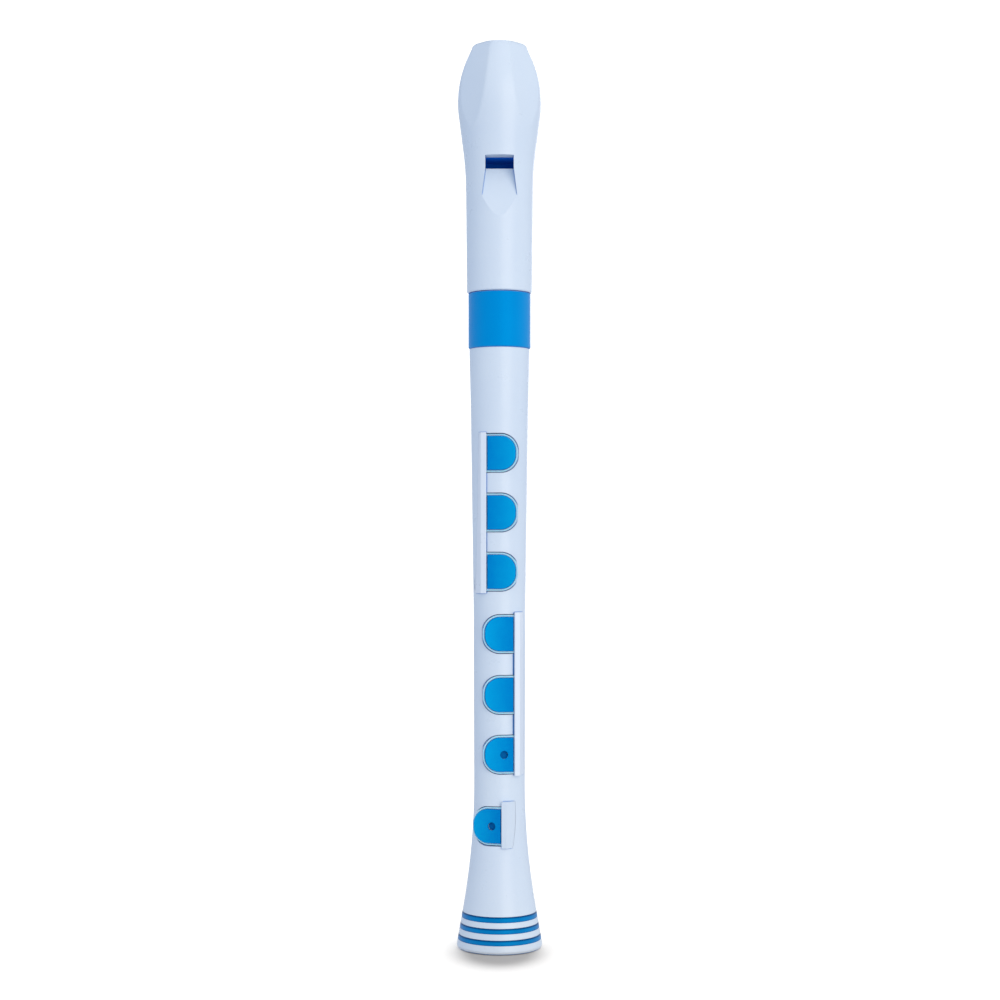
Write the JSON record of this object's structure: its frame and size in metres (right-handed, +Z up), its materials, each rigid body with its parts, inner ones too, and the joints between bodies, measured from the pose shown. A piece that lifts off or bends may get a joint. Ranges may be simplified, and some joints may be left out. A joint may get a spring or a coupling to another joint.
{
  "type": "soprano recorder",
  "caption": "Slim fipple flute with a beaked head joint, round coloured rings on its flared foot and D-shaped silicone flaps hinged over its finger holes.",
  "frame": {"origin": "centre of the foot's rim, on the surface it stands on", "axes": "+Z up the bore towards the beak, -Y towards the finger keys and the window, +X to the right seen from the keys' side"},
  "size_m": [0.0308, 0.0306, 0.325],
  "materials": {
    "white_plastic": "satin gloss",
    "blue_plastic": "satin",
    "blue_silicone": "soft satin silicone",
    "seal_rubber": "matte rubber"
  },
  "bodies": {
    "body": {"body_tube": "white_plastic", "grip_band": "blue_plastic", "upper_key_cover": "white_plastic", "lower_key_cover": "white_plastic", "foot_key_cover": "white_plastic", "thumb_key_cover": "white_plastic", "upper_key_strip": "blue_silicone", "lower_key_strip": "blue_silicone", "foot_key_strip": "blue_silicone", "thumb_key_strip": "blue_silicone", "foot_ring_1": "blue_plastic", "foot_ring_2": "blue_plastic", "foot_ring_3": "blue_plastic", "thumb_rest": "white_plastic"},
    "seals": {"seal_ring_lower": "seal_rubber", "seal_ring_upper": "seal_rubber"},
    "head": {"head_shell": "white_plastic", "windway_block": "blue_plastic"},
    "key_1": {"key_1": "blue_silicone"},
    "key_2": {"key_2": "blue_silicone"},
    "key_3": {"key_3": "blue_silicone"},
    "key_4": {"key_4": "blue_silicone"},
    "key_5": {"key_5": "blue_silicone"},
    "key_6": {"key_6": "blue_silicone"},
    "key_7": {"key_7": "blue_silicone"},
    "thumb_key": {"thumb_key": "blue_silicone"}
  },
  "joints": [
    {"name": "head_twist", "type": "hinge", "parent": "body", "child": "seals", "pos_m": [0, 0, 0.246], "axis": [0, 0, 1], "continuous": true},
    {"name": "head_pull", "type": "slide", "parent": "seals", "child": "head", "axis": [0, 0, 1], "range_m": [0, 0.024]},
    {"name": "key_1_swing", "type": "hinge", "parent": "body", "child": "key_1", "pos_m": [-0.0053, -0.0081, 0.1778], "axis": [0, 0, 1], "range_deg": [0, 8], "stiffness_Nm_per_rad": 0.02},
    {"name": "key_2_swing", "type": "hinge", "parent": "body", "child": "key_2", "pos_m": [-0.0053, -0.0081, 0.1566], "axis": [0, 0, 1], "range_deg": [0, 8], "stiffness_Nm_per_rad": 0.02},
    {"name": "key_3_swing", "type": "hinge", "parent": "body", "child": "key_3", "pos_m": [-0.0053, -0.0081, 0.1355], "axis": [0, 0, 1], "range_deg": [0, 8], "stiffness_Nm_per_rad": 0.02},
    {"name": "key_4_swing", "type": "hinge", "parent": "body", "child": "key_4", "pos_m": [0.0059, -0.0077, 0.1133], "axis": [0, 0, -1], "range_deg": [0, 8], "stiffness_Nm_per_rad": 0.02},
    {"name": "key_5_swing", "type": "hinge", "parent": "body", "child": "key_5", "pos_m": [0.0059, -0.0077, 0.0916], "axis": [0, 0, -1], "range_deg": [0, 8], "stiffness_Nm_per_rad": 0.02},
    {"name": "key_6_swing", "type": "hinge", "parent": "body", "child": "key_6", "pos_m": [0.0059, -0.0077, 0.0703], "axis": [0, 0, -1], "range_deg": [0, 8], "stiffness_Nm_per_rad": 0.02},
    {"name": "key_7_swing", "type": "hinge", "parent": "body", "child": "key_7", "pos_m": [0.00176, -0.00954, 0.0448], "axis": [0, 0, -1], "range_deg": [0, 8], "stiffness_Nm_per_rad": 0.02},
    {"name": "thumb_key_swing", "type": "hinge", "parent": "body", "child": "thumb_key", "pos_m": [0.0053, 0.0083, 0.189], "axis": [0, 0, 1], "range_deg": [0, 8], "stiffness_Nm_per_rad": 0.02}
  ]
}
